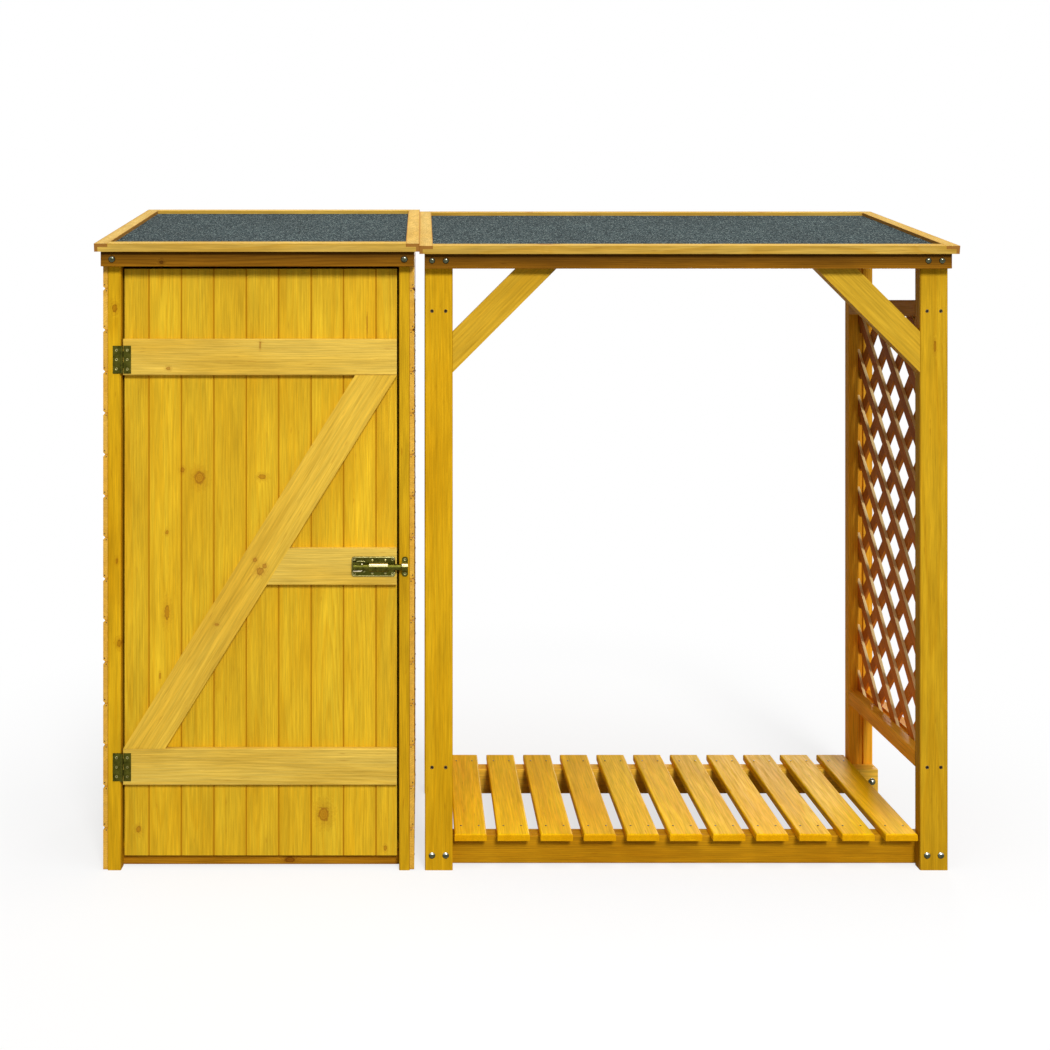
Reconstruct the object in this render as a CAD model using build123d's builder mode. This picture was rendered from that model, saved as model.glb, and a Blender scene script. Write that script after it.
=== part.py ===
"""Garden log store with a tool cupboard beside it: two timber frames under two pent roofs that meet edge to edge.

Millimetres. X runs along the front, to the right as the door is faced, Y runs from front to back and Z is up.
The origin is on the ground, below the middle of the roofs.
"""

import os
from math import ceil, cos, radians, sin, tan

from build123d import *

os.makedirs("parts", exist_ok=True)

# Roofs
shed_roof_width = 868.0
store_roof_width = 1442.0
frame_depth = 640.0
front_overhang = 46.0
rear_overhang = 34.0
roof_pitch = 11.0
shed_eaves_height = 1668.0
roof_step = 6.0
deck_thickness = 10.0
felt_thickness = 3.0
trim_thickness = 9.0
trim_width = 36.0

# Shared timber sizes
beam_height = 41.0
beam_thickness = 28.0
arris = 2.0
cut_overrun = 20.0

# Log store frame
store_side_overhang = 15.0
store_post_width = 75.0
store_post_thickness = 38.0
floor_rail_height = 75.0
floor_rail_thickness = 50.0
floor_rail_ground_gap = 3.0
slat_count = 11
slat_width = 87.0
slat_thickness = 18.0
slat_edge_radius = 4.5
slat_side_clearance = 5.0
slat_setback = 3.0
knee_brace_width = 78.0
knee_brace_thickness = 34.0
knee_brace_drop = 280.0
knee_brace_head_clearance = 5.0

# Lattice panels
lattice_rail_height = 45.0
lower_lattice_rail_bottom = 266.0
upper_lattice_rail_drop = 122.0
lath_width = 32.0
lath_thickness = 8.5
lath_pitch = 102.5
inner_lath_phase_share = 0.16
outer_lath_phase_share = 0.84
lattice_groove_depth = 10.0
lattice_fit = 0.3

# Tool cupboard
shed_side_overhang = 14.0
cladding_thickness = 12.0
cladding_cover = 112.0
cladding_ground_gap = 3.0
cladding_groove = 8.0
shed_hinge_post_width = 36.0
shed_lock_post_width = 29.0
shed_post_thickness = 36.0
sill_height = 44.0
sill_thickness = 40.0
sill_ground_gap = 1.0
floor_thickness = 16.0
floor_fit = 1.0

# Door
door_gap = 6.0
door_foot_height = 33.0
door_board_thickness = 14.0
door_board_cover = 88.0
door_first_board = 66.0
door_groove = 3.0
ledge_height = 98.0
ledge_thickness = 18.0
bottom_ledge_bottom = 230.0
lock_ledge_bottom = 771.5
top_ledge_drop = 233.0
door_brace_width = 96.0

# Hinges
hinge_height = 75.0
high_hinge_drop = 7.0
hinge_leaf_width = 24.5
hinge_leaf_thickness = 2.0
hinge_knuckle_radius = 4.0
hinge_knuckle_count = 5
hinge_knuckle_gap = 0.4
hinge_pin_radius = 2.0
hinge_pin_fit = 0.1
hinge_face_gap = 0.5

# Door bolt
latch_plate_length = 118.0
latch_plate_height = 54.0
latch_plate_thickness = 2.0
latch_plate_corner = 7.0
latch_edge_distance = 4.0
latch_guide_length = 50.0
latch_guide_edge_distance = 20.0
latch_guide_wall = 3.0
bolt_radius = 8.5
bolt_fit = 0.3
bolt_tip_gap = 2.0
bolt_handle_length = 30.0
bolt_handle_height = 28.0
bolt_handle_thickness = 5.0
bolt_handle_gap = 16.0
bolt_handle_corner = 4.0
keeper_length = 16.0
keeper_height = 53.0
keeper_edge_distance = 8.0

# Places along the front and through the depth
roof_left = -(shed_roof_width + store_roof_width) / 2
roof_joint = roof_left + shed_roof_width
roof_right = roof_joint + store_roof_width
shed_left = roof_left + shed_side_overhang
shed_right = roof_joint - shed_side_overhang
store_left = roof_joint + store_side_overhang
store_right = roof_right - store_side_overhang
roof_depth = front_overhang + frame_depth + rear_overhang
frame_front = front_overhang - roof_depth / 2
frame_rear = frame_front + frame_depth
frame_middle = (frame_front + frame_rear) / 2
beam_front = frame_front - beam_thickness
beam_rear = frame_rear + beam_thickness

# The roofs' slope, and their length along it, which fits their square edges to the overhang
roof_slope = tan(radians(roof_pitch))
roof_cos = cos(radians(roof_pitch))
roof_sin = sin(radians(roof_pitch))
felt_top = deck_thickness + felt_thickness
roof_thickness = felt_top + trim_thickness
roof_length = (roof_depth - roof_thickness * roof_sin) / roof_cos
shed_deck_middle = shed_eaves_height + roof_depth / 2 * roof_slope
store_deck_middle = shed_deck_middle - roof_step


def save(piece, name):
    """Names a finished piece and writes it to its own file."""
    piece.label = name
    export_step(piece, f"parts/{name}.step")


def deck_underside(y, deck_middle):
    """Height of a roof deck's lower face at depth y, where it is at deck_middle halfway back."""
    return deck_middle + y * roof_slope


def timber(left, right, front, rear, bottom, top, grain):
    """A straight timber with square ends and eased edges along the grain."""
    with BuildPart() as piece:
        with BuildSketch(Plane.XY.offset(bottom)):
            with Locations(((left + right) / 2, (front + rear) / 2)):
                Rectangle(right - left, rear - front)
        extrude(amount=top - bottom)
        chamfer(piece.edges().filter_by(grain), length=arris)
    return piece.part


def raked_timber(left, right, front, rear, bottom, deck_middle, grain=None):
    """A timber whose top is cut to the roof's pitch, so that the deck lies flat on it."""
    with BuildPart() as piece:
        with BuildSketch(Plane.YZ.offset(left)):
            with BuildLine():
                Polyline(
                    (front, bottom),
                    (rear, bottom),
                    (rear, deck_underside(rear, deck_middle)),
                    (front, deck_underside(front, deck_middle)),
                    close=True,
                )
            make_face()
        extrude(amount=right - left)
        if grain is not None:
            chamfer(piece.edges().filter_by(grain), length=arris)
    return piece.part


def front_board(corners, thickness):
    """A board on the door or frame with the given outline, its front flush with the posts."""
    with BuildPart() as board:
        with BuildSketch(Plane.XZ.offset(-frame_front)):
            with BuildLine():
                Polyline(*corners, close=True)
            make_face()
        extrude(amount=-thickness)
    return board.part


def roof_piece(left, right, front, rear, low, high, deck_middle):
    """A flat piece of a roof. Front and rear are measured along the slope, low and high from the deck's underside."""
    middle_height = deck_middle + roof_thickness / 2 / roof_cos
    slope = Plane(origin=(0, 0, middle_height), x_dir=(1, 0, 0), z_dir=(0, -roof_sin, roof_cos))
    with BuildPart() as piece:
        with BuildSketch(slope.offset(low - roof_thickness / 2)):
            with Locations(((left + right) / 2, (front + rear) / 2)):
                Rectangle(right - left, rear - front)
        extrude(amount=high - low)
    return piece.part


def roof(prefix, left, right, deck_middle):
    """One pent roof: a boarded deck, its felt, and angle mouldings along the four edges."""
    front = -roof_length / 2
    rear = roof_length / 2
    inner_left = left + trim_thickness
    inner_right = right - trim_thickness
    inner_front = front + trim_thickness
    inner_rear = rear - trim_thickness
    cap_left = left + trim_width
    cap_right = right - trim_width
    field = (inner_left, inner_right, inner_front, inner_rear)

    save(roof_piece(*field, 0, deck_thickness, deck_middle), f"{prefix}_roof_deck")
    save(roof_piece(*field, deck_thickness, felt_top, deck_middle), f"{prefix}_roof_felt")

    left_leg = roof_piece(left, inner_left, front, rear, 0, roof_thickness, deck_middle)
    left_cap = roof_piece(left, cap_left, front, rear, felt_top, roof_thickness, deck_middle)
    right_leg = roof_piece(inner_right, right, front, rear, 0, roof_thickness, deck_middle)
    right_cap = roof_piece(cap_right, right, front, rear, felt_top, roof_thickness, deck_middle)
    save(left_leg + left_cap + right_leg + right_cap, f"{prefix}_roof_side_trims")

    front_leg = roof_piece(inner_left, inner_right, front, inner_front, 0, felt_top, deck_middle)
    front_cap = roof_piece(cap_left, cap_right, front, front + trim_width, felt_top, roof_thickness, deck_middle)
    rear_leg = roof_piece(inner_left, inner_right, inner_rear, rear, 0, felt_top, deck_middle)
    rear_cap = roof_piece(cap_left, cap_right, rear - trim_width, rear, felt_top, roof_thickness, deck_middle)
    save(front_leg + front_cap + rear_leg + rear_cap, f"{prefix}_roof_edge_trims")


roof("shed", roof_left, roof_joint, shed_deck_middle)
roof("store", roof_joint, roof_right, store_deck_middle)

# Beams under the eaves, on the outer faces of the posts
shed_beam_bottom = deck_underside(beam_front, shed_deck_middle) - beam_height
store_beam_bottom = deck_underside(beam_front, store_deck_middle) - beam_height
rear_beam_bottom = deck_underside(frame_rear, store_deck_middle) - beam_height
shed_beam = raked_timber(shed_left, shed_right, beam_front, frame_front, shed_beam_bottom, shed_deck_middle)
save(shed_beam, "shed_front_beam")
store_beam = raked_timber(store_left, store_right, beam_front, frame_front, store_beam_bottom, store_deck_middle)
save(store_beam, "store_front_beam")
rear_beam = raked_timber(store_left, store_right, frame_rear, beam_rear, rear_beam_bottom, store_deck_middle)
save(rear_beam, "store_rear_beam")

# Log store posts, grooved down the middle of their inner faces to hold the lattice
groove_width = 2 * (lath_thickness + lattice_fit)
bay_left = store_left + store_post_width
bay_right = store_right - store_post_width
bay_front = frame_front + store_post_thickness
bay_rear = frame_rear - store_post_thickness


def store_post(left, front, groove_face):
    """A corner post of the log store, with its groove in the face at depth groove_face."""
    right = left + store_post_width
    rear = front + store_post_thickness
    with BuildPart() as groove:
        with BuildSketch(Plane.XY.offset(-cut_overrun)):
            with Locations(((left + right) / 2, groove_face)):
                Rectangle(groove_width, 2 * lattice_groove_depth)
        extrude(amount=deck_underside(rear, store_deck_middle) + 2 * cut_overrun)
    return raked_timber(left, right, front, rear, 0, store_deck_middle, Axis.Z) - groove.part


for side, left in (("left", store_left), ("right", bay_right)):
    save(store_post(left, frame_front, bay_front), f"store_front_{side}_post")
    save(store_post(left, bay_rear, bay_rear), f"store_rear_{side}_post")

# Floor rails on the inner faces of the posts, and the slats across them
floor_rail_top = floor_rail_ground_gap + floor_rail_height
floor_rails = {
    "front_floor_rail": (bay_front, bay_front + floor_rail_thickness),
    "rear_floor_rail": (bay_rear - floor_rail_thickness, bay_rear),
}
for name, (front, rear) in floor_rails.items():
    rail = timber(store_left, store_right, front, rear, floor_rail_ground_gap, floor_rail_top, Axis.X)
    save(rail, name)

slat_length = frame_depth - 2 * slat_setback
slat_span = bay_right - bay_left - 2 * slat_side_clearance
slat_pitch = (slat_span - slat_width) / (slat_count - 1)
with BuildPart() as floor_slats:
    with BuildSketch(Plane.XY.offset(floor_rail_top)):
        with Locations(((bay_left + bay_right) / 2, frame_middle)):
            with GridLocations(slat_pitch, slat_length, slat_count, 1):
                Rectangle(slat_width, slat_length)
    extrude(amount=slat_thickness)
    fillet(floor_slats.faces().sort_by(Axis.Z)[-slat_count:].edges(), radius=slat_edge_radius)
save(floor_slats.part, "floor_slats")

# Knee braces at 45 degrees from the front posts, cut plumb at the foot and level behind the beam
knee_head = deck_underside(frame_front, store_deck_middle) - knee_brace_head_clearance
knee_foot = store_beam_bottom - knee_brace_drop
knee_foot_depth = knee_brace_width / cos(radians(45))
knee_lower_reach = knee_head - knee_foot
knee_upper_reach = knee_lower_reach - knee_foot_depth
for side, post_face, direction in (("left", bay_left, 1), ("right", bay_right, -1)):
    outline = (
        (post_face, knee_foot),
        (post_face + direction * knee_lower_reach, knee_head),
        (post_face + direction * knee_upper_reach, knee_head),
        (post_face, knee_foot + knee_foot_depth),
    )
    save(front_board(outline, knee_brace_thickness), f"{side}_knee_brace")

# Lattice panels at both ends of the log store, let into grooves of the posts and of the rails
lower_rail_top = lower_lattice_rail_bottom + lattice_rail_height
upper_rail_top = shed_eaves_height - roof_step - upper_lattice_rail_drop
upper_lattice_rail_bottom = upper_rail_top - lattice_rail_height
groove_reach = lattice_groove_depth - lattice_fit
panel_depth = bay_rear - bay_front + 2 * groove_reach
panel_bottom = lower_rail_top - groove_reach
panel_top = upper_lattice_rail_bottom + groove_reach
panel_height = panel_top - panel_bottom
panel_middle = (panel_bottom + panel_top) / 2


def lattice_rail(left, bottom, groove_face):
    """A rail along one edge of a lattice panel, grooved for it in the face at height groove_face."""
    right = left + store_post_width
    with BuildPart() as groove:
        with BuildSketch(Plane.XZ.offset(-bay_rear - cut_overrun)):
            with Locations(((left + right) / 2, groove_face)):
                Rectangle(groove_width, 2 * lattice_groove_depth)
        extrude(amount=bay_rear - bay_front + 2 * cut_overrun)
    rail = timber(left, right, bay_front, bay_rear, bottom, bottom + lattice_rail_height, Axis.Y)
    return rail - groove.part


def lath_layer(base, lean, phase_share, thickness):
    """Parallel laths on the plane base, turned by lean degrees from upright and cut to the panel."""
    reach = panel_depth + panel_height
    steps = ceil(reach / lath_pitch / 2)
    offsets = [(step + phase_share) * lath_pitch for step in range(-steps, steps + 1)]
    lean_cos = cos(radians(lean))
    lean_sin = sin(radians(lean))
    centres = [(frame_middle + offset * lean_cos, panel_middle + offset * lean_sin) for offset in offsets]
    with BuildPart() as layer:
        with BuildSketch(base):
            with Locations(*centres):
                Rectangle(lath_width, reach, rotation=lean)
            with Locations((frame_middle, panel_middle)):
                Rectangle(panel_depth, panel_height, mode=Mode.INTERSECT)
        extrude(amount=thickness)
    return layer.part


for side, left, inward in (("left", store_left, 1), ("right", bay_right, -1)):
    lower_rail = lattice_rail(left, lower_lattice_rail_bottom, lower_rail_top)
    upper_rail = lattice_rail(left, upper_lattice_rail_bottom, upper_lattice_rail_bottom)
    save(lower_rail + upper_rail, f"{side}_lattice_rails")

    # The layer that faces the bay rises to the back, and the outer one rises to the front
    base = Plane.YZ.offset(left + store_post_width / 2)
    inner_laths = lath_layer(base, 135, inner_lath_phase_share, inward * lath_thickness)
    outer_laths = lath_layer(base, 45, outer_lath_phase_share, -inward * lath_thickness)
    lattice = (inner_laths + outer_laths).solids().sort_by(SortBy.VOLUME)[-1]
    save(lattice, f"{side}_lattice")

# Tool cupboard: corner posts
shed_inner_left = shed_left + cladding_thickness
shed_inner_right = shed_right - cladding_thickness
opening_left = shed_inner_left + shed_hinge_post_width
opening_right = shed_inner_right - shed_lock_post_width
shed_front_inner = frame_front + shed_post_thickness
shed_rear_inner = frame_rear - shed_post_thickness
for side, left, right in (
    ("left", shed_inner_left, opening_left),
    ("right", opening_right, shed_inner_right),
):
    front_post = raked_timber(left, right, frame_front, shed_front_inner, 0, shed_deck_middle, Axis.Z)
    save(front_post, f"shed_front_{side}_post")
    rear_post = raked_timber(left, right, shed_rear_inner, frame_rear, 0, shed_deck_middle, Axis.Z)
    save(rear_post, f"shed_rear_{side}_post")

# Cladding of level boards, with a V groove at each joint on the outside
wall_top = deck_underside(frame_rear + cladding_thickness, shed_deck_middle)
cladding_joints = [
    cladding_ground_gap + cladding_cover * joint
    for joint in range(1, ceil((wall_top - cladding_ground_gap) / cladding_cover))
]


def side_wall(outer, inner):
    """The cladding on one side of the cupboard, from its outer to its inner face."""
    with BuildPart() as grooves:
        with BuildSketch(Plane.XZ.offset(-frame_rear - cut_overrun)):
            with Locations(*[(outer, joint) for joint in cladding_joints]):
                Rectangle(cladding_groove, cladding_groove, rotation=45)
        extrude(amount=frame_depth + 2 * cut_overrun)
    left = min(outer, inner)
    right = max(outer, inner)
    wall = raked_timber(left, right, frame_front, frame_rear, cladding_ground_gap, shed_deck_middle)
    return wall - grooves.part


save(side_wall(shed_left, shed_inner_left), "shed_left_wall")
save(side_wall(shed_right, shed_inner_right), "shed_right_wall")

back_face = frame_rear + cladding_thickness
with BuildPart() as back_grooves:
    with BuildSketch(Plane.YZ.offset(shed_left - cut_overrun)):
        with Locations(*[(back_face, joint) for joint in cladding_joints]):
            Rectangle(cladding_groove, cladding_groove, rotation=45)
    extrude(amount=shed_right - shed_left + 2 * cut_overrun)
back_wall = raked_timber(shed_left, shed_right, frame_rear, back_face, cladding_ground_gap, shed_deck_middle)
save(back_wall - back_grooves.part, "shed_back_wall")

# Sills behind the posts, and the floor on them
sill_top = sill_ground_gap + sill_height
sills = {
    "shed_front_sill": (shed_front_inner, shed_front_inner + sill_thickness),
    "shed_rear_sill": (shed_rear_inner - sill_thickness, shed_rear_inner),
}
for name, (front, rear) in sills.items():
    save(timber(shed_inner_left, shed_inner_right, front, rear, sill_ground_gap, sill_top, Axis.X), name)

shed_floor = timber(
    shed_inner_left + floor_fit,
    shed_inner_right - floor_fit,
    shed_front_inner + floor_fit,
    shed_rear_inner - floor_fit,
    sill_top,
    sill_top + floor_thickness,
    Axis.Z,
)
save(shed_floor, "shed_floor")

# Door: upright grooved boards behind three ledges and a brace that are flush with the posts
door_left = opening_left + door_gap
door_right = opening_right - door_gap
door_top = shed_beam_bottom - door_gap
ledge_back = frame_front + ledge_thickness
door_back = ledge_back + door_board_thickness
door_joint_count = ceil((door_right - door_left - door_first_board) / door_board_cover)
door_joints = [door_left + door_first_board + door_board_cover * joint for joint in range(door_joint_count)]

with BuildPart() as door_panel:
    with BuildSketch(Plane.XY.offset(door_foot_height)):
        with Locations(((door_left + door_right) / 2, (ledge_back + door_back) / 2)):
            Rectangle(door_right - door_left, door_back - ledge_back)
        with Locations(*[(joint, face) for joint in door_joints for face in (ledge_back, door_back)]):
            Rectangle(door_groove, door_groove, rotation=45, mode=Mode.SUBTRACT)
    extrude(amount=door_top - door_foot_height)
save(door_panel.part, "door_panel")

bottom_ledge_top = bottom_ledge_bottom + ledge_height
top_ledge_top = shed_eaves_height - top_ledge_drop
top_ledge_bottom = top_ledge_top - ledge_height
for name, bottom, top in (
    ("door_bottom_ledge", bottom_ledge_bottom, bottom_ledge_top),
    ("door_top_ledge", top_ledge_bottom, top_ledge_top),
):
    save(timber(door_left, door_right, frame_front, ledge_back, bottom, top, Axis.X), name)

# The level cut at each end of the brace is its width over the cosine of its lean, found by substitution
brace_rise = top_ledge_bottom - bottom_ledge_top
brace_cut = door_brace_width
for _ in range(12):
    brace_lean = (door_right - door_left - brace_cut) / brace_rise
    brace_cut = door_brace_width * (1 + brace_lean**2) ** 0.5
brace_outline = (
    (door_left, bottom_ledge_top),
    (door_left + brace_cut, bottom_ledge_top),
    (door_right, top_ledge_bottom),
    (door_right - brace_cut, top_ledge_bottom),
)
save(front_board(brace_outline, ledge_thickness), "door_brace")

lock_ledge_top = lock_ledge_bottom + ledge_height
lock_start_bottom = door_left + brace_cut + (lock_ledge_bottom - bottom_ledge_top) * brace_lean
lock_start_top = door_left + brace_cut + (lock_ledge_top - bottom_ledge_top) * brace_lean
lock_outline = (
    (lock_start_bottom, lock_ledge_bottom),
    (door_right, lock_ledge_bottom),
    (door_right, lock_ledge_top),
    (lock_start_top, lock_ledge_top),
)
save(front_board(lock_outline, ledge_thickness), "door_lock_ledge")

# Butt hinges: the pin stands in the frame leaf, and the door leaf's knuckles turn on it
hinge_x = (opening_left + door_left) / 2
hinge_y = frame_front - hinge_knuckle_radius - hinge_face_gap
knuckle_height = hinge_height / hinge_knuckle_count
leaf_front = frame_front - hinge_leaf_thickness


def hinge_leaf(middle, direction, first_knuckle):
    """One leaf of a hinge: a plate to one side of the axis, with every second knuckle from first_knuckle."""
    bottom = middle - hinge_height / 2
    outer = hinge_x + direction * hinge_leaf_width
    inner = hinge_x + direction * (hinge_knuckle_radius + hinge_knuckle_gap)
    with BuildPart() as leaf:
        with BuildSketch(Plane.XY.offset(bottom)):
            with Locations(((outer + inner) / 2, (leaf_front + frame_front) / 2)):
                Rectangle(abs(outer - inner), hinge_leaf_thickness)
        extrude(amount=hinge_height)
        for knuckle in range(first_knuckle, hinge_knuckle_count, 2):
            with BuildSketch(Plane.XY.offset(bottom + knuckle * knuckle_height + hinge_knuckle_gap / 2)):
                with Locations((hinge_x, hinge_y)):
                    Circle(hinge_knuckle_radius)
                with Locations(((inner + hinge_x) / 2, (leaf_front + frame_front) / 2)):
                    Rectangle(abs(inner - hinge_x), hinge_leaf_thickness)
            extrude(amount=knuckle_height - hinge_knuckle_gap)
    return leaf.part


def hinge_core(middle, radius):
    """A cylinder on the axis of a hinge, over its full height."""
    with BuildPart() as core:
        with BuildSketch(Plane.XY.offset(middle - hinge_height / 2)):
            with Locations((hinge_x, hinge_y)):
                Circle(radius)
        extrude(amount=hinge_height)
    return core.part


low_hinge = (bottom_ledge_bottom + bottom_ledge_top) / 2
high_hinge = (top_ledge_bottom + top_ledge_top) / 2 - high_hinge_drop
low_frame_leaf = hinge_leaf(low_hinge, -1, 0) + hinge_core(low_hinge, hinge_pin_radius)
high_frame_leaf = hinge_leaf(high_hinge, -1, 0) + hinge_core(high_hinge, hinge_pin_radius)
save(low_frame_leaf + high_frame_leaf, "hinge_frame_leaves")
low_door_leaf = hinge_leaf(low_hinge, 1, 1) - hinge_core(low_hinge, hinge_pin_radius + hinge_pin_fit)
high_door_leaf = hinge_leaf(high_hinge, 1, 1) - hinge_core(high_hinge, hinge_pin_radius + hinge_pin_fit)
save(low_door_leaf + high_door_leaf, "hinge_door_leaves")

# Door bolt: a plate with a guide on the lock ledge, the sliding bolt, and its keeper on the post
bolt_z = (lock_ledge_bottom + lock_ledge_top) / 2
plate_front = frame_front - latch_plate_thickness
bolt_bore = bolt_radius + bolt_fit
bolt_y = plate_front - bolt_bore
plate_right = door_right - latch_edge_distance
plate_left = plate_right - latch_plate_length
guide_right = plate_right - latch_guide_edge_distance
guide_left = guide_right - latch_guide_length
keeper_left = opening_right + keeper_edge_distance


def bridge(left, length, radius):
    """A solid tunnel shape about the bolt, straight sided down to the plate."""
    with BuildPart() as solid:
        with BuildSketch(Plane.YZ.offset(left)):
            with Locations((bolt_y, bolt_z)):
                Circle(radius)
            with Locations(((bolt_y + plate_front) / 2, bolt_z)):
                Rectangle(plate_front - bolt_y, 2 * radius)
            with Locations(((bolt_y - radius + plate_front) / 2, bolt_z)):
                Rectangle(plate_front - bolt_y + radius, 2 * radius, mode=Mode.INTERSECT)
        extrude(amount=length)
    return solid.part


def latch_base(left, length, height):
    """The plate that is screwed to the door or the post."""
    with BuildPart() as base:
        with BuildSketch(Plane.XZ.offset(-frame_front)):
            with Locations((left + length / 2, bolt_z)):
                RectangleRounded(length, height, latch_plate_corner)
        extrude(amount=latch_plate_thickness)
    return base.part


guide = bridge(guide_left, latch_guide_length, bolt_bore + latch_guide_wall)
guide_bore = bridge(guide_left, latch_guide_length, bolt_bore)
save(latch_base(plate_left, latch_plate_length, latch_plate_height) + (guide - guide_bore), "latch_plate")

loop = bridge(keeper_left, keeper_length, bolt_bore + latch_guide_wall)
loop_bore = bridge(keeper_left, keeper_length, bolt_bore)
save(latch_base(keeper_left, keeper_length, keeper_height) + (loop - loop_bore), "latch_keeper")

handle_right = guide_left - bolt_handle_gap
handle_left = handle_right - bolt_handle_length
bolt_tip = keeper_left - bolt_tip_gap
with BuildPart() as latch_bolt:
    with BuildSketch(Plane.YZ.offset(handle_left + bolt_handle_corner)):
        with Locations((bolt_y, bolt_z)):
            Circle(bolt_radius)
    extrude(amount=bolt_tip - handle_left - bolt_handle_corner)
    with BuildSketch(Plane.XZ.offset(-bolt_y)):
        with Locations((handle_left + bolt_handle_length / 2, bolt_z)):
            RectangleRounded(bolt_handle_length, bolt_handle_height, bolt_handle_corner)
    extrude(amount=bolt_handle_thickness / 2, both=True)
save(latch_bolt.part, "latch_bolt")
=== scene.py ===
import math

import bmesh
import bpy
from mathutils import Matrix, Vector


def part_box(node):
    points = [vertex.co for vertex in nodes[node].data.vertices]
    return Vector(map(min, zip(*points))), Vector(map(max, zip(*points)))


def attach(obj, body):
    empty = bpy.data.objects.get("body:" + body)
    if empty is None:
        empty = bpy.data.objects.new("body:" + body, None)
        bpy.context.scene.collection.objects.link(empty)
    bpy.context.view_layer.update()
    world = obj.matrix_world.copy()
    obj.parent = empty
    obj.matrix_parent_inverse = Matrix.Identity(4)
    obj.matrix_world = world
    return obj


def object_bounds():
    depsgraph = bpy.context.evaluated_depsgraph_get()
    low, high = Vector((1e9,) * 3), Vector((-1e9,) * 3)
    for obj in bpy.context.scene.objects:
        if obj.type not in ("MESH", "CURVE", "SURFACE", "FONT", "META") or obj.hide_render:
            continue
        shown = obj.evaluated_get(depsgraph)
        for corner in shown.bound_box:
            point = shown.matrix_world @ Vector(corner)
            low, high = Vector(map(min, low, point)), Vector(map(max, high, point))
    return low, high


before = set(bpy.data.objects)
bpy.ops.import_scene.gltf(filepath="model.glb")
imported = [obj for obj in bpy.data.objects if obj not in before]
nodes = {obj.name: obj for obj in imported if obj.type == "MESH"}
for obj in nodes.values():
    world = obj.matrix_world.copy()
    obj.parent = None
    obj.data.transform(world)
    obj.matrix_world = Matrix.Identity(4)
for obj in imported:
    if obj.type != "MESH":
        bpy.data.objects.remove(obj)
cad_low, cad_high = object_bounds()
scene = bpy.context.scene
scene.view_settings.view_transform = "Standard"
MM = 0.001
X, Y, Z = 0, 1, 2
FRONT, BACK = (0, -1, 0), (0, 1, 0)
LEFT, RIGHT = (-1, 0, 0), (1, 0, 0)
UP = (0, 0, 1)

# Boards that only the material of the cupboard's floor and of the roof decks shows, in metres
FLOOR_BOARD, DECK_BOARD = 0.09, 0.1

# Sizes of the construction that boards and fasteners follow, in metres
DOOR_BOARD, FIRST_DOOR_BOARD = 0.088, 0.066
CLADDING_BOARD = 0.112
SLAT_COUNT, SLAT_WIDTH = 11, 0.087
CAP_WIDTH = 0.036
HINGE_HEIGHT = 0.075
PLATE_THICKNESS = 0.002
door_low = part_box("door_panel")[0]
wall_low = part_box("shed_left_wall")[0]
slat_low, slat_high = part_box("floor_slats")
SLAT_PITCH = (slat_high.x - slat_low.x - SLAT_WIDTH) / (SLAT_COUNT - 1)
front_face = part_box("store_front_left_post")[0].y
rear_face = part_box("store_rear_left_post")[1].y


def srgb(red, green, blue):
    """A linear colour from 8-bit sRGB values."""
    def linear(value):
        value /= 255
        return value / 12.92 if value <= 0.04045 else ((value + 0.055) / 1.055) ** 2.4
    return (linear(red), linear(green), linear(blue), 1.0)


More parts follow.
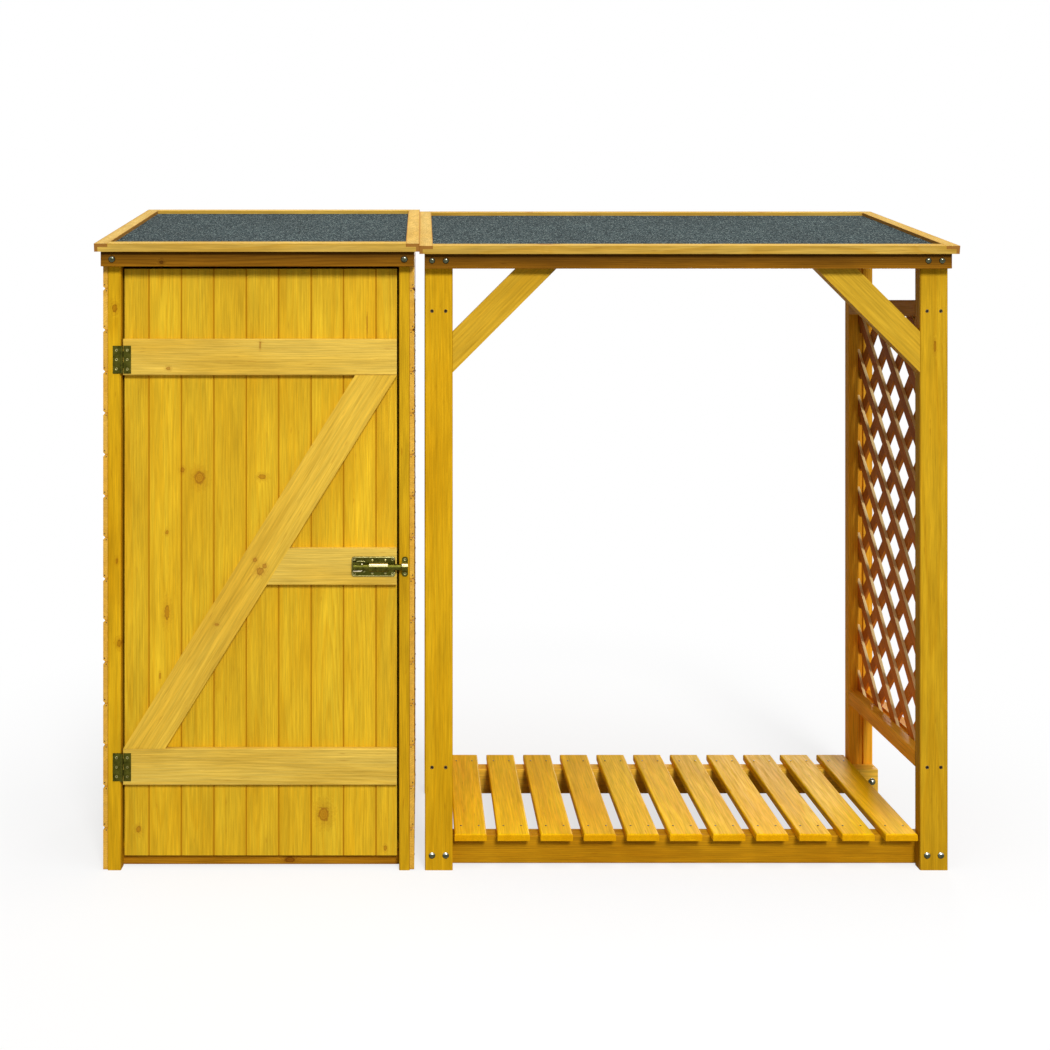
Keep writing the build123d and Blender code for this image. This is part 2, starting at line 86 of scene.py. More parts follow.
class Shader:
    """One material and short ways to add nodes to it."""

    def __init__(self, name):
        self.material = bpy.data.materials.new(name)
        self.material.use_nodes = True
        self.tree = self.material.node_tree
        self.tree.nodes.clear()
        self.output = self.tree.nodes.new("ShaderNodeOutputMaterial")
        self.surface = self.tree.nodes.new("ShaderNodeBsdfPrincipled")
        self.tree.links.new(self.surface.outputs[0], self.output.inputs["Surface"])
        self.coordinates = self.tree.nodes.new("ShaderNodeTexCoord")

    def put(self, socket, value):
        """Links a socket to an input, or sets the input to a plain value."""
        if isinstance(value, bpy.types.NodeSocket):
            self.tree.links.new(value, socket)
        else:
            socket.default_value = value

    def math(self, operation, *values):
        node = self.tree.nodes.new("ShaderNodeMath")
        node.operation = operation
        for socket, value in zip(node.inputs, values):
            self.put(socket, value)
        return node.outputs[0]

    def add(self, first, second):
        return self.math("ADD", first, second)

    def subtract(self, first, second):
        return self.math("SUBTRACT", first, second)

    def multiply(self, first, second):
        return self.math("MULTIPLY", first, second)

    def divide(self, first, second):
        return self.math("DIVIDE", first, second)

    def absolute(self, value):
        return self.math("ABSOLUTE", value)

    def centred(self, value, spread):
        """Turns a value from 0 to 1 into one that lies around zero, as wide as spread."""
        return self.multiply(self.subtract(value, 0.5), spread)

    def length(self, first, second):
        """The length of a step of two coordinates."""
        return self.math("SQRT", self.add(self.multiply(first, first), self.multiply(second, second)))

    def vector(self, x, y, z):
        node = self.tree.nodes.new("ShaderNodeCombineXYZ")
        for socket, value in zip(node.inputs, (x, y, z)):
            self.put(socket, value)
        return node.outputs[0]

    def split(self, vector):
        node = self.tree.nodes.new("ShaderNodeSeparateXYZ")
        self.put(node.inputs[0], vector)
        return node.outputs

    def noise(self, vector, scale=1.0, detail=2.0, roughness=0.5):
        node = self.tree.nodes.new("ShaderNodeTexNoise")
        self.put(node.inputs["Vector"], vector)
        for name, value in (("Scale", scale), ("Detail", detail), ("Roughness", roughness)):
            node.inputs[name].default_value = value
        return node.outputs

    def voronoi(self, vector, scale=1.0):
        node = self.tree.nodes.new("ShaderNodeTexVoronoi")
        self.put(node.inputs["Vector"], vector)
        node.inputs["Scale"].default_value = scale
        return node.outputs

    def random(self, value):
        """Three random numbers from 0 to 1 for each value."""
        node = self.tree.nodes.new("ShaderNodeTexWhiteNoise")
        node.noise_dimensions = "1D"
        self.put(node.inputs["W"], value)
        return self.split(node.outputs["Color"])

    def remap(self, value, low, high, new_low=0.0, new_high=1.0, smooth=False):
        node = self.tree.nodes.new("ShaderNodeMapRange")
        node.interpolation_type = "SMOOTHSTEP" if smooth else "LINEAR"
        for socket, number in zip(node.inputs, (value, low, high, new_low, new_high)):
            self.put(socket, number)
        return node.outputs[0]

    def ramp(self, value, stops):
        node = self.tree.nodes.new("ShaderNodeValToRGB")
        elements = node.color_ramp.elements
        while len(elements) < len(stops):
            elements.new(0.5)
        for element, (place, colour) in zip(elements, stops):
            element.position = place
            element.color = colour
        self.put(node.inputs[0], value)
        return node.outputs[0]

    def mix(self, share, first, second, blend="MIX"):
        node = self.tree.nodes.new("ShaderNodeMix")
        node.data_type = "RGBA"
        node.blend_type = blend
        self.put(node.inputs[0], share)
        self.put(node.inputs[6], first)
        self.put(node.inputs[7], second)
        return node.outputs[2]

    def darkened(self, colour, shade):
        return self.mix(1.0, colour, self.vector(shade, shade, shade), "MULTIPLY")

    def bump(self, height, strength, distance):
        node = self.tree.nodes.new("ShaderNodeBump")
        node.inputs["Strength"].default_value = strength
        node.inputs["Distance"].default_value = distance
        self.put(node.inputs["Height"], height)
        self.put(self.surface.inputs["Normal"], node.outputs[0])


class Wood(Shader):
    """Coordinates, growth rings and knots of planed softwood."""

    def __init__(self, name, grain, seed, middle, boards, slant):
        """Grain is the axis of the fibres, and boards gives the axis, start and pitch of joined boards.

        Slant gives the axis that upright fibres lean to, their angles to the left and right of an X,
        and that X.
        """
        super().__init__(name)
        self.solid = self.split(self.coordinates.outputs["Object"])
        self.normal = self.split(self.coordinates.outputs["Normal"])
        self.seed = seed
        place, self.facing = list(self.solid), list(self.normal)
        if slant:
            middle = self.lean_fibres(place, Vector(middle), *slant)
        local = {}
        if boards:
            axis, start, pitch = boards
            board = self.math("FLOOR", self.divide(self.subtract(place[axis], start), pitch))
            board_middle = self.add(self.multiply(self.add(board, 0.5), pitch), start)
            self.chance = self.random(self.add(board, seed))
            local[axis] = self.subtract(place[axis], board_middle)
            self.margin = self.subtract(pitch / 2, self.absolute(local[axis]))
        else:
            self.chance = self.random(seed)
        self.u, self.v = (local.get(axis) or self.subtract(place[axis], middle[axis])
                          for axis in (X, Y, Z) if axis != grain)
        self.along = self.add(place[grain], self.multiply(self.chance[0], 17.0))

    def lean_fibres(self, place, middle, axis, left, right, border):
        """Turns the coordinates and normals so that fibres which lean towards axis are upright."""
        cosine = math.cos(left)
        beyond = self.math("GREATER_THAN", self.solid[X], border)
        sine = self.remap(beyond, 0.0, 1.0, math.sin(left), math.sin(right))
        for upright, plain in ((place, self.solid), (self.facing, self.normal)):
            upright[axis] = self.subtract(self.multiply(plain[axis], cosine), self.multiply(plain[Z], sine))
            upright[Z] = self.add(self.multiply(plain[axis], sine), self.multiply(plain[Z], cosine))
        middle[axis] = middle[axis] * cosine - middle[Z] * math.sin(left)
        return middle

    def stretched(self, width, length, depth=None):
        """Coordinates for a pattern that is drawn out along the fibres."""
        return self.vector(self.multiply(self.u, width), self.multiply(self.v, depth or width),
                           self.multiply(self.along, length))

    def knot_depth(self, knots, marks):
        """How far a point lies from the nearest knot, as a share of the knot's size."""
        spot = self.voronoi(self.stretched(9.0, 6.0, 3.0))
        dice = self.split(spot["Color"])
        kept = self.math("LESS_THAN", dice[0], knots)
        depth = self.divide(spot["Distance"], self.remap(dice[1], 0.0, 1.0, 0.05, 0.12))
        depth = self.add(depth, self.multiply(self.subtract(1.0, kept), 9.0))
        blur = self.noise(self.coordinates.outputs["Object"], 160.0)[0]
        for x, z, wide, high in marks:
            away = self.divide(self.subtract(self.solid[X], x * MM), wide * MM)
            up = self.divide(self.subtract(self.solid[Z], z * MM), high * MM)
            near = self.multiply(self.length(away, up), self.remap(blur, 0.3, 0.7, 0.8, 1.2))
            depth = self.math("MINIMUM", depth, near)
        return depth

    def late_wood(self, halo):
        """Growth rings about a pith that wanders beside the board, bent round the knots."""
        drift = self.split(self.noise(
            self.vector(self.seed, self.multiply(self.chance[1], 9.0), self.along), 0.55, 1.0)[1])
        u_pith = self.add(self.centred(self.chance[1], 0.12), self.centred(drift[0], 0.06))
        v_pith = self.add(self.add(self.multiply(self.chance[2], 0.06), 0.035), self.centred(drift[1], 0.06))
        radius = self.length(self.add(self.u, u_pith), self.add(self.v, v_pith))
        wave = self.noise(self.stretched(22.0, 2.4))[0]
        bent = self.add(self.add(radius, self.centred(wave, 0.011)), self.multiply(halo, 0.012))
        turn = self.math("FRACT", self.divide(bent, self.remap(self.chance[0], 0.0, 1.0, 0.0042, 0.0068)))
        return self.ramp(turn, [(0.0, (0.1, 0.1, 0.1, 1)), (0.45, (0.2, 0.2, 0.2, 1)), (0.85, (1, 1, 1, 1)),
                                (1.0, (0.1, 0.1, 0.1, 1))])


BOARD_TONE_SPREAD = 0.07
EMBER_SHARES, COAL_SHARES = (0.62, 0.42, 0.4), (0.4, 0.24, 0.2)


def scorched(colour, shares):
    """A darker and redder colour."""
    return tuple(channel * share for channel, share in zip(colour, shares)) + (1.0,)


def wood(name, tone, grain, seed, middle, boards, marks, knots, painted_shade_heights, slant):
    """Planed softwood in a tone.

    Marks are chosen knots: X, Z, half width and half height in millimetres.
    """
    s = Wood(name, grain, seed, middle, boards, slant)
    pale, deep, joint = tone["pale"], tone["deep"], tone["joint"]
    ember, coal = scorched(deep, EMBER_SHARES), scorched(deep, COAL_SHARES)
    depth = s.knot_depth(knots, marks)
    core = s.remap(depth, 1.05, 0.85, 0.0, 1.0, True)
    rim = s.remap(s.absolute(s.subtract(depth, 0.95)), 0.28, 0.06, 0.0, 1.0, True)
    halo = s.remap(depth, 3.0, 0.9, 0.0, 1.0, True)
    late = s.late_wood(halo)
    fibre = s.noise(s.stretched(260.0, 11.0), 1.0, 3.0, 0.6)[0]
    streak = s.noise(s.stretched(62.0, 4.5), 1.0, 2.0)[0]
    cloud = s.noise(s.stretched(10.0, 2.2), 1.0, 3.0)[0]
    fleck = s.remap(s.noise(s.stretched(150.0, 22.0), 1.0, 1.0)[0], 0.7, 0.82)

    colour = s.mix(s.multiply(late, tone["contrast"]), pale, deep)
    colour = s.mix(s.remap(cloud, 0.42, 0.72, 0.0, 0.75), colour, deep)
    colour = s.mix(s.remap(s.chance[1], 0.3, 1.0, 0.0, 0.35), colour, deep)
    shade = s.multiply(s.remap(fibre, 0.25, 0.75, 0.79, 1.18),
                       s.remap(s.chance[2], 0.0, 1.0, 1 - BOARD_TONE_SPREAD, 1 + BOARD_TONE_SPREAD))
    shade = s.multiply(shade, s.remap(streak, 0.3, 0.7, 0.89, 1.08))
    # Painted light and shade: the colour scales from one share at the foot to another at the top, lighter low
    # down and darker high up
    if tone["painted_shade_shares"]:
        shade = s.multiply(shade, s.remap(s.solid[Z], *painted_shade_heights, *tone["painted_shade_shares"]))
    colour = s.darkened(colour, shade)
    colour = s.mix(s.multiply(fleck, 0.4), colour, ember)
    if joint:
        colour = s.mix(s.remap(s.margin, joint * 0.4, joint * 1.2, 0.75, 0.0, True), colour, ember)
        colour = s.mix(s.remap(s.margin, joint, joint * 7.0, 0.3, 0.0, True), colour, deep)
    colour = s.mix(s.multiply(halo, 0.3), colour, ember)
    rings = s.remap(s.math("SINE", s.multiply(depth, 18.0)), -1.0, 1.0, 0.4, 0.75)
    colour = s.mix(s.multiply(core, rings), colour, ember)
    colour = s.mix(s.multiply(rim, 0.5), colour, coal)

    # End grain is darker, flanks that face left or right get painted shade, and edges that face up get a
    # painted highlight
    colour = s.mix(s.remap(s.absolute(s.facing[grain]), 0.6, 0.9, 0.0, tone["end_share"]), colour, ember)
    if tone["painted_flank_shade"]:
        colour = s.mix(s.remap(s.absolute(s.normal[X]), 0.5, 0.9, 0.0, tone["painted_flank_shade"]), colour, ember)
    if tone["edge"]:
        side = s.remap(s.absolute(s.normal[X]), 0.5, 0.2, 0.0, 0.9)
        colour = s.mix(s.multiply(side, s.remap(s.normal[Z], 0.2, 0.6)), colour, tone["edge"])
    s.put(s.surface.inputs["Base Color"], colour)
    s.put(s.surface.inputs["Roughness"], s.remap(fibre, 0.3, 0.7, 0.66, 0.5))
    s.surface.inputs["Specular IOR Level"].default_value = tone["gloss"]
    s.bump(s.add(s.multiply(late, 0.5), s.multiply(fibre, 0.6)), 0.4, 0.0006)
    return s.material


def felt(name, seed):
    """Bitumen felt with a facing of light and dark mineral grains."""
    s = Shader(name)
    place = s.coordinates.outputs["Object"]
    grains = s.voronoi(place, 380.0)
    tint = s.split(grains["Color"])
    fine = s.ramp(tint[0], [(0.0, srgb(2, 9, 13)), (0.45, srgb(17, 31, 34)), (0.74, srgb(34, 51, 54)),
                            (0.86, srgb(82, 96, 94)), (1.0, srgb(136, 148, 142))])
    patch = s.noise(place, 5.0 + seed, 4.0)[0]
    s.put(s.surface.inputs["Base Color"], s.darkened(fine, s.remap(patch, 0.3, 0.7, 0.85, 1.12)))
    s.put(s.surface.inputs["Roughness"], s.remap(tint[1], 0.0, 1.0, 0.75, 0.95))
    s.surface.inputs["Specular IOR Level"].default_value = 0.2
    s.bump(s.add(s.multiply(grains["Distance"], -1.0), s.multiply(patch, 0.6)), 0.5, 0.0012)
    return s.material


def metal(name, base, stain, rough, painted_highlight=None, raised=None):
    """A plated steel fitting with a cloudy finish and fine scratches.

    The painted highlight colour goes on faces that look up, on what stands in front of the depth raised.
    """
    s = Shader(name)
    place = s.coordinates.outputs["Object"]
    cloud = s.noise(place, 90.0, 4.0, 0.6)[0]
    parts = s.split(place)
    scratches = s.vector(*(s.multiply(part, scale) for part, scale in zip(parts, (60.0, 900.0, 900.0))))
    brushed = s.noise(scratches, 1.0, 2.0)[0]
    colour = s.mix(s.remap(cloud, 0.35, 0.7), base, stain)
    # Painted highlight on faces that look up
    if painted_highlight:
        highlight_mask = s.remap(s.split(s.coordinates.outputs["Normal"])[Z], 0.15, 0.8, 0.0, 0.95, True)
        if raised is not None:
            highlight_mask = s.multiply(highlight_mask, s.math("LESS_THAN", parts[Y], raised))
        colour = s.mix(highlight_mask, colour, painted_highlight)
    s.put(s.surface.inputs["Base Color"], colour)
    s.surface.inputs["Metallic"].default_value = 1.0
    dull = s.add(cloud, s.multiply(brushed, 0.4))
    s.put(s.surface.inputs["Roughness"], s.remap(dull, 0.4, 1.0, rough, rough + 0.22))
    s.bump(brushed, 0.12, 0.0003)
    return s.material


# Tones of the timbers
DULL, SATIN = 0.04, 0.12
JOINT = 0.0026


def timber_tone(pale, deep, contrast=0.6, gloss=DULL, end_share=0.45, painted_flank_shade=0.0, painted_shade_shares=None,
                joint=0.0, edge=None):
    """Early and late wood in 8-bit sRGB, with how the piece varies.

    The shares say how much ends darken, how much painted shade darkens the flanks, and what painted shade
    leaves of the colour at the foot and at the top.
    """
    return {"pale": srgb(*pale), "deep": srgb(*deep), "contrast": contrast, "gloss": gloss,
            "end_share": end_share, "painted_flank_shade": painted_flank_shade, "painted_shade_shares": painted_shade_shares, "joint": joint,
            "edge": edge}


# Pale colour put on lattice edges that face up, as a painted highlight
PAINTED_EDGE_HIGHLIGHT = srgb(255, 226, 160)
TONES = {
    # Flank shares paint shade on the sides that face left and right
    "post": timber_tone((214, 169, 26), (192, 140, 8), painted_flank_shade=0.4),
    "right_post": timber_tone((200, 158, 30), (178, 130, 12), painted_flank_shade=0.4),
    "rail": timber_tone((192, 140, 18), (166, 106, 4)),
    # Rear floor rail: paler than the front rail, painted light against the shade it sits in
    "rear_rail": timber_tone((246, 200, 78), (226, 166, 40)),
    "sill": timber_tone((178, 124, 22), (150, 92, 6)),
    # Rear posts: paler than the front posts, painted light against the shade they stand in, with painted
    # shade towards the top
    "rear": timber_tone((234, 172, 46), (206, 134, 20), contrast=0.8, painted_shade_shares=(1.4, 0.8)),
    # Beam: painted shade towards the top, under the roof trim
    "beam": timber_tone((116, 76, 10), (84, 50, 3), painted_shade_shares=(2.0, 0.3)),
    "brace": timber_tone((210, 168, 46), (194, 146, 26), contrast=0.4, painted_flank_shade=0.75),
    "door_brace": timber_tone((222, 184, 66), (206, 160, 42), contrast=0.45, gloss=SATIN, painted_flank_shade=0.75),
    "slat": timber_tone((252, 202, 10), (236, 170, 0)),
    # Lattice and its rails: painted light towards the foot and painted shade towards the top
    "lattice": timber_tone((182, 108, 34), (146, 74, 14), painted_shade_shares=(1.75, 0.65), edge=PAINTED_EDGE_HIGHLIGHT),
    "lattice_rail": timber_tone((228, 172, 52), (200, 132, 22), contrast=0.8, painted_shade_shares=(1.45, 0.6)),
    "cladding": timber_tone((238, 192, 80), (214, 158, 46), end_share=0.2, joint=JOINT),
    "door": timber_tone((226, 187, 40), (207, 156, 14), gloss=SATIN, joint=JOINT),
    "ledge": timber_tone((222, 188, 82), (202, 158, 44), contrast=0.5, gloss=SATIN),
    "deck": timber_tone((208, 170, 104), (178, 128, 60), joint=JOINT),
    "trim": timber_tone((212, 174, 78), (188, 140, 36), gloss=SATIN, end_share=0.85),
    "cap": timber_tone((212, 180, 104), (188, 146, 62), end_share=0.85, painted_flank_shade=0.45, joint=JOINT),
}

# Knots that show from the front: X, Z, half width and half height in millimetres
MARKS = {
    "door_panel": ((-930, 1079, 5, 6), (-884, 1058, 12, 16), (-714, 1060, 9, 6), (-972, 910, 4, 5),
                   (-972, 693, 6, 20), (-547, 145, 13, 18), (-1049, 104, 6, 8), (-380, 53, 4, 6),
                   (-991, 520, 2, 8), (-429, 1477, 1.5, 26)),
    "door_brace": ((-717, 808, 9, 9), (-731, 838, 5, 5), (-705, 822, 5, 6), (-835, 664, 5, 3)),
    "door_top_ledge": ((-965, 1355, 5, 4), (-717, 1418, 2, 8)),
    "shed_front_left_post": ((-1110, 1518, 6, 10), (-1104, 835, 3, 6), (-1098, 613, 5, 9)),
    "store_front_right_post": ((1105, 1414, 3, 13),),
    "shed_front_sill": ((-640, 14, 12, 7),),
    "shed_front_beam": ((-978, 1641, 5, 4),),
}
MARKED_KNOTS_SHARE, PLAIN_KNOTS_SHARE = 0.03, 0.08


def caps(name):
    """Boards as wide as the two side trims of a roof, with a joint at each of their edges."""
    low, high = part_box(name)
    span = high.x - low.x - CAP_WIDTH
    return X, low.x, span / round(span / CAP_WIDTH)


# Tone, axis of the fibres and boards of each timber
CLADDING = (Z, wall_low.z, CLADDING_BOARD)
DECKING = (Y, cad_low.y, DECK_BOARD)
TIMBER = {
    "door_panel": ("door", Z, (X, door_low.x + FIRST_DOOR_BOARD - DOOR_BOARD, DOOR_BOARD)),
    "door_top_ledge": ("ledge", X, None),
    "door_lock_ledge": ("ledge", X, None),
    "door_bottom_ledge": ("ledge", X, None),
    "door_brace": ("door_brace", Z, None),
    "shed_left_wall": ("cladding", Y, CLADDING),
    "shed_right_wall": ("cladding", Y, CLADDING),
    "shed_back_wall": ("cladding", X, CLADDING),
    "shed_floor": ("slat", Y, (X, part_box("shed_floor")[0].x, FLOOR_BOARD)),
    "shed_front_sill": ("sill", X, None),
    "shed_rear_sill": ("sill", X, None),
    "shed_front_beam": ("beam", X, None),
    "store_front_beam": ("beam", X, None),
    "store_rear_beam": ("beam", X, None),
    "front_floor_rail": ("rail", X, None),
    "rear_floor_rail": ("rear_rail", X, None),
    "floor_slats": ("slat", Y, (X, slat_low.x - (SLAT_PITCH - SLAT_WIDTH) / 2, SLAT_PITCH)),
    "left_knee_brace": ("brace", Z, None),
    "right_knee_brace": ("brace", Z, None),
    "left_lattice": ("lattice", Z, None),
    "right_lattice": ("lattice", Z, None),
    "left_lattice_rails": ("lattice_rail", Y, None),
    "right_lattice_rails": ("lattice_rail", Y, None),
    "shed_roof_deck": ("deck", X, DECKING),
    "store_roof_deck": ("deck", X, DECKING),
    "shed_roof_side_trims": ("cap", Y, caps("shed_roof_side_trims")),
    "store_roof_side_trims": ("cap", Y, caps("store_roof_side_trims")),
    "shed_roof_edge_trims": ("trim", X, None),
    "store_roof_edge_trims": ("trim", X, None),
}
for name in nodes:
    if name.endswith("_post"):
        TIMBER[name] = ("rear" if "rear" in name else "post", Z, None)
TIMBER["store_front_right_post"] = ("right_post", Z, None)

WELD_DISTANCE = 0.00005
SHARP_ANGLE, OPEN_EDGE_ANGLE = 0.5, 1.5
LEAST_LEAN_SHARE = 0.2


def lean(name, axis, side):
    """The angle from upright, towards axis, of a node's longest sharp edge that leans.

    Side picks the edges on the left (-1) or right (1) of the node's middle.
    """
    low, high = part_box(name)
    bm = bmesh.new()
    bm.from_mesh(nodes[name].data)
    bm.transform(nodes[name].matrix_world)
    bmesh.ops.remove_doubles(bm, verts=bm.verts, dist=WELD_DISTANCE)
    longest, angle = 0.0, 0.0
    for edge in bm.edges:
        start, end = (vert.co for vert in edge.verts)
        away = end - start
        on_side = side * ((start.x + end.x) - (low.x + high.x)) >= 0
        sharp = edge.calc_face_angle(OPEN_EDGE_ANGLE) > SHARP_ANGLE
        leans = min(abs(away[axis]), abs(away.z)) > LEAST_LEAN_SHARE * away.length
        if on_side and sharp and leans and away.length > longest:
            longest = away.length
            angle = math.atan2(away[axis] * math.copysign(1.0, away.z), abs(away.z))
    bm.free()
    return angle


def slanted(name, tone_name):
    """How the fibres of a leaning piece run. The two layers of a lattice lean opposite ways."""
    middle = sum(corner.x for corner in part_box(name)) / 2
    if tone_name == "lattice":
        return (Y, lean(name, Y, -1), lean(name, Y, 1), middle)
    if "brace" in tone_name:
        return (X, lean(name, X, -1), lean(name, X, -1), middle)
    return None


def dress(name, material):
    """Gives a CAD node its material."""
    for slot in nodes[name].material_slots:
        slot.material = material


FIRST_SEED, SEED_STEP = 3.7, 11.3
for number, name in enumerate(sorted(TIMBER)):
    tone_name, grain, boards = TIMBER[name]
    low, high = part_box(name)
    knots = MARKED_KNOTS_SHARE if name in MARKS else PLAIN_KNOTS_SHARE
    seed = FIRST_SEED + number * SEED_STEP
    dress(name, wood(name + "_wood", TONES[tone_name], grain, seed, (low + high) / 2, boards,
                     MARKS.get(name, ()), knots, (low.z, high.z), slanted(name, tone_name)))
for number, name in enumerate(("shed_roof_felt", "store_roof_felt")):
    dress(name, felt(name + "_mineral", number))

# Metals of the fittings
PAINTED_HIGHLIGHT_RISE = 0.004
ZINC = metal("yellow_zinc", srgb(88, 86, 30), srgb(52, 52, 14), 0.18)
# Latch plate and keeper: yellow zinc with a painted highlight on the upward faces of the raised guide
ZINC_WITH_PAINTED_HIGHLIGHT = metal("zinc_with_painted_highlight", srgb(88, 86, 30), srgb(52, 52, 14), 0.16, srgb(206, 196, 150),
                      front_face - PAINTED_HIGHLIGHT_RISE)
PALE_ZINC = metal("pale_zinc", srgb(176, 170, 112), srgb(120, 112, 58), 0.18)
PAINTED_HIGHLIGHT_ZINC = metal("zinc_for_painted_highlight", srgb(238, 230, 204), srgb(206, 196, 160), 0.2)
# Coach bolts: galvanised steel with a painted highlight on faces that look up
GALVANISED = metal("galvanised", srgb(92, 96, 76), srgb(50, 54, 38), 0.12, srgb(214, 218, 206))
BLACKENED = metal("dark_screw", srgb(92, 78, 60), srgb(60, 48, 34), 0.4)
for name in ("hinge_frame_leaves", "hinge_door_leaves", "latch_bolt"):
    dress(name, ZINC)
for name in ("latch_plate", "latch_keeper"):
    dress(name, ZINC_WITH_PAINTED_HIGHLIGHT)

# Eased edges on the boards that are square in the construction model
EASED = ("door_brace", "door_lock_ledge", "left_knee_brace", "right_knee_brace")
for name in nodes:
    if name.endswith("_trims") or name in EASED:
        bevel = nodes[name].modifiers.new("eased_edges", "BEVEL")
        bevel.width = 0.0012
        bevel.segments = 2
        bevel.limit_method = "ANGLE"
        bevel.angle_limit = math.radians(40)


def lathe(bm, profile, size, centre, axis, sides=20):
    """Adds a turned shape.

    The profile runs from the rim to the tip as radius and height along the axis, in shares of size.
    """
    turn = Vector(UP).rotation_difference(Vector(axis)).to_matrix().to_4x4()
    place = Matrix.Translation(Vector(centre)) @ turn
    rings = []
    for radius, height in ((radius * size, height * size) for radius, height in profile):
        if radius == 0:
            rings.append([bm.verts.new(place @ Vector((0, 0, height)))])
            continue
        ring = []
        for side in range(sides):
            angle = 2 * math.pi * side / sides
            point = Vector((radius * math.cos(angle), radius * math.sin(angle), height))
            ring.append(bm.verts.new(place @ point))
        rings.append(ring)
    for lower, upper in zip(rings, rings[1:]):
        for side in range(sides):
            after = (side + 1) % sides
            if len(upper) == 1:
                bm.faces.new((lower[side], lower[after], upper[0]))
            else:
                bm.faces.new((lower[side], lower[after], upper[after], upper[side]))
    bm.faces.new(list(reversed(rings[0])))


def piece(name, bm, body, material):
    """Makes a piece of the object from a bmesh and lets it ride on a body."""
    mesh = bpy.data.meshes.new(name)
    bmesh.ops.recalc_face_normals(bm, faces=bm.faces)
    bm.to_mesh(mesh)
    bm.free()
    mesh.materials.append(material)
    for polygon in mesh.polygons:
        polygon.use_smooth = len(polygon.vertices) <= 4
    made = bpy.data.objects.new(name, mesh)
    scene.collection.objects.link(made)
    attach(made, body)


# Fastener profiles from rim to tip, in shares of the width of the head
DOME = [(0.50, 0.0), (0.50, 0.04), (0.47, 0.11), (0.40, 0.20), (0.28, 0.28), (0.14, 0.32), (0.0, 0.33)]
COUNTERSUNK = [(0.50, 0.0), (0.50, 0.03), (0.44, 0.06), (0.30, 0.055), (0.22, -0.03), (0.0, -0.06)]
RIVET = [(0.50, 0.0), (0.48, 0.12), (0.36, 0.26), (0.18, 0.33), (0.0, 0.35)]
WASHER = [(0.50, 0.0), (0.50, 0.06), (0.46, 0.08), (0.0, 0.08)]
NUT = [(0.36, 0.07), (0.36, 0.30), (0.31, 0.36), (0.18, 0.36), (0.17, 0.46), (0.12, 0.49), (0.0, 0.49)]
NAIL = [(0.50, 0.0), (0.50, 0.08), (0.40, 0.16), (0.0, 0.18)]
NUT_SIDES, NAIL_SIDES, SCREW_SIDES = 6, 10, 16

# Coach bolts and screws in the posts, in pairs on the log store and single on the cupboard
PAIR_REACH = 0.0185
RAIL_BOLT, BEAM_BOLT, SHED_BOLT, WASHER_SIZE = 0.018, 0.017, 0.019, 0.022
BEAM_BOLT_RISE, REAR_BEAM_BOLT_RISE, SHED_BOLT_RISE = 0.021, 0.022, 0.019
RIGHT_BEAM_BOLT_SHIFT = 0.007
RAIL_SCREW, LOWER_SCREW_RISE, UPPER_SCREW_DROP = 0.0095, 0.012, 0.030
front_beam_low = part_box("store_front_beam")[0]
rear_beam_low, rear_beam_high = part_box("store_rear_beam")
shed_beam_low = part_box("shed_front_beam")[0]
front_rail, rear_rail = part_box("front_floor_rail"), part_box("rear_floor_rail")
rail_z = (front_rail[0].z + front_rail[1].z) / 2
bolts, screws = bmesh.new(), bmesh.new()
for side in ("left", "right"):
    low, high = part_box(f"store_front_{side}_post")
    rails_low, rails_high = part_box(f"{side}_lattice_rails")
    for x in ((low.x + high.x) / 2 - PAIR_REACH, (low.x + high.x) / 2 + PAIR_REACH):
        lathe(bolts, DOME, RAIL_BOLT, (x, front_face, rail_z), FRONT)
        lathe(bolts, DOME, RAIL_BOLT, (x, rear_face, rail_z), BACK)
        for y, out in ((front_rail[1].y, BACK), (rear_rail[0].y, FRONT)):
            lathe(bolts, WASHER, WASHER_SIZE, (x, y, rail_z), out)
            lathe(bolts, NUT, WASHER_SIZE, (x, y, rail_z), out, NUT_SIDES)
        beam_x = x - (RIGHT_BEAM_BOLT_SHIFT if side == "right" else 0)
        beam_bolt = (beam_x, front_beam_low.y, front_beam_low.z + BEAM_BOLT_RISE)
        lathe(bolts, DOME, BEAM_BOLT, beam_bolt, FRONT)
        rear_beam_bolt = (beam_x, rear_beam_high.y, rear_beam_low.z + REAR_BEAM_BOLT_RISE)
        lathe(bolts, DOME, BEAM_BOLT, rear_beam_bolt, BACK)
        for z in (rails_low.z + LOWER_SCREW_RISE, rails_high.z - UPPER_SCREW_DROP):
            lathe(screws, COUNTERSUNK, RAIL_SCREW, (x, front_face, z), FRONT)
            lathe(screws, COUNTERSUNK, RAIL_SCREW, (x, rear_face, z), BACK)
    low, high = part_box(f"shed_front_{side}_post")
    shed_bolt = ((low.x + high.x) / 2, front_beam_low.y, shed_beam_low.z + SHED_BOLT_RISE)
    lathe(bolts, DOME, SHED_BOLT, shed_bolt, FRONT)
piece("coach_bolts", bolts, "frame", GALVANISED)
piece("lattice_rail_screws", screws, "frame", BLACKENED)

# Nails: a pair at each end of a cladding board, one above and one below each joint in the board ends that
# face front, and a pair where a slat crosses a floor rail
WALL_NAIL, END_NAIL, SLAT_NAIL = 0.006, 0.0035, 0.0055
BOARD_NAIL_SHARES, SLAT_NAIL_SHARES = (0.3, 0.72), (0.22, 0.78)
WALL_NAIL_INSET, BACK_NAIL_INSET = 0.018, 0.03
WALL_NAIL_REACH, END_NAIL_TOP = 1.58, 1.62
END_NAILS = ((0.004, 0.010), (0.0085, -0.006))
nails = bmesh.new()


def board_nail_heights(low, high):
    """Heights of the nails in the whole courses of a wall."""
    courses = int((high.z - low.z) / CLADDING_BOARD)
    return [low.z + (course + share) * CLADDING_BOARD
            for course in range(courses) for share in BOARD_NAIL_SHARES]


